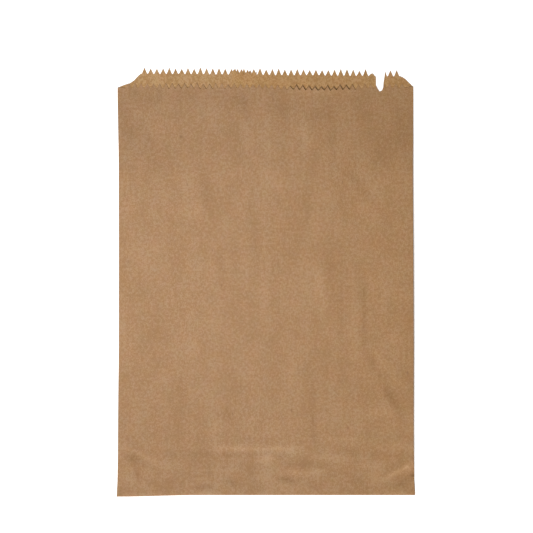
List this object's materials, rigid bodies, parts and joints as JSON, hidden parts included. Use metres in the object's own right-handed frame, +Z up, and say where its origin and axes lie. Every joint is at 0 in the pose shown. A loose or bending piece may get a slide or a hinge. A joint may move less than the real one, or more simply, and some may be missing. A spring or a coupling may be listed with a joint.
{
  "type": "flat paper bag",
  "caption": "Flat kraft paper bag with a lapped back seam, a hem folded up at the bottom and a stepped serrated mouth with a small tear.",
  "frame": {"origin": "on the surface the bag lies on, under the middle of its outline", "axes": "+X across the bag, +Y along it towards the mouth, +Z up through the front ply"},
  "size_m": [0.1998, 0.2882, 0.0039],
  "materials": {
    "kraft_paper": "matte"
  },
  "bodies": {
    "root": {"paper_bag": "kraft_paper"}
  },
  "joints": []
}
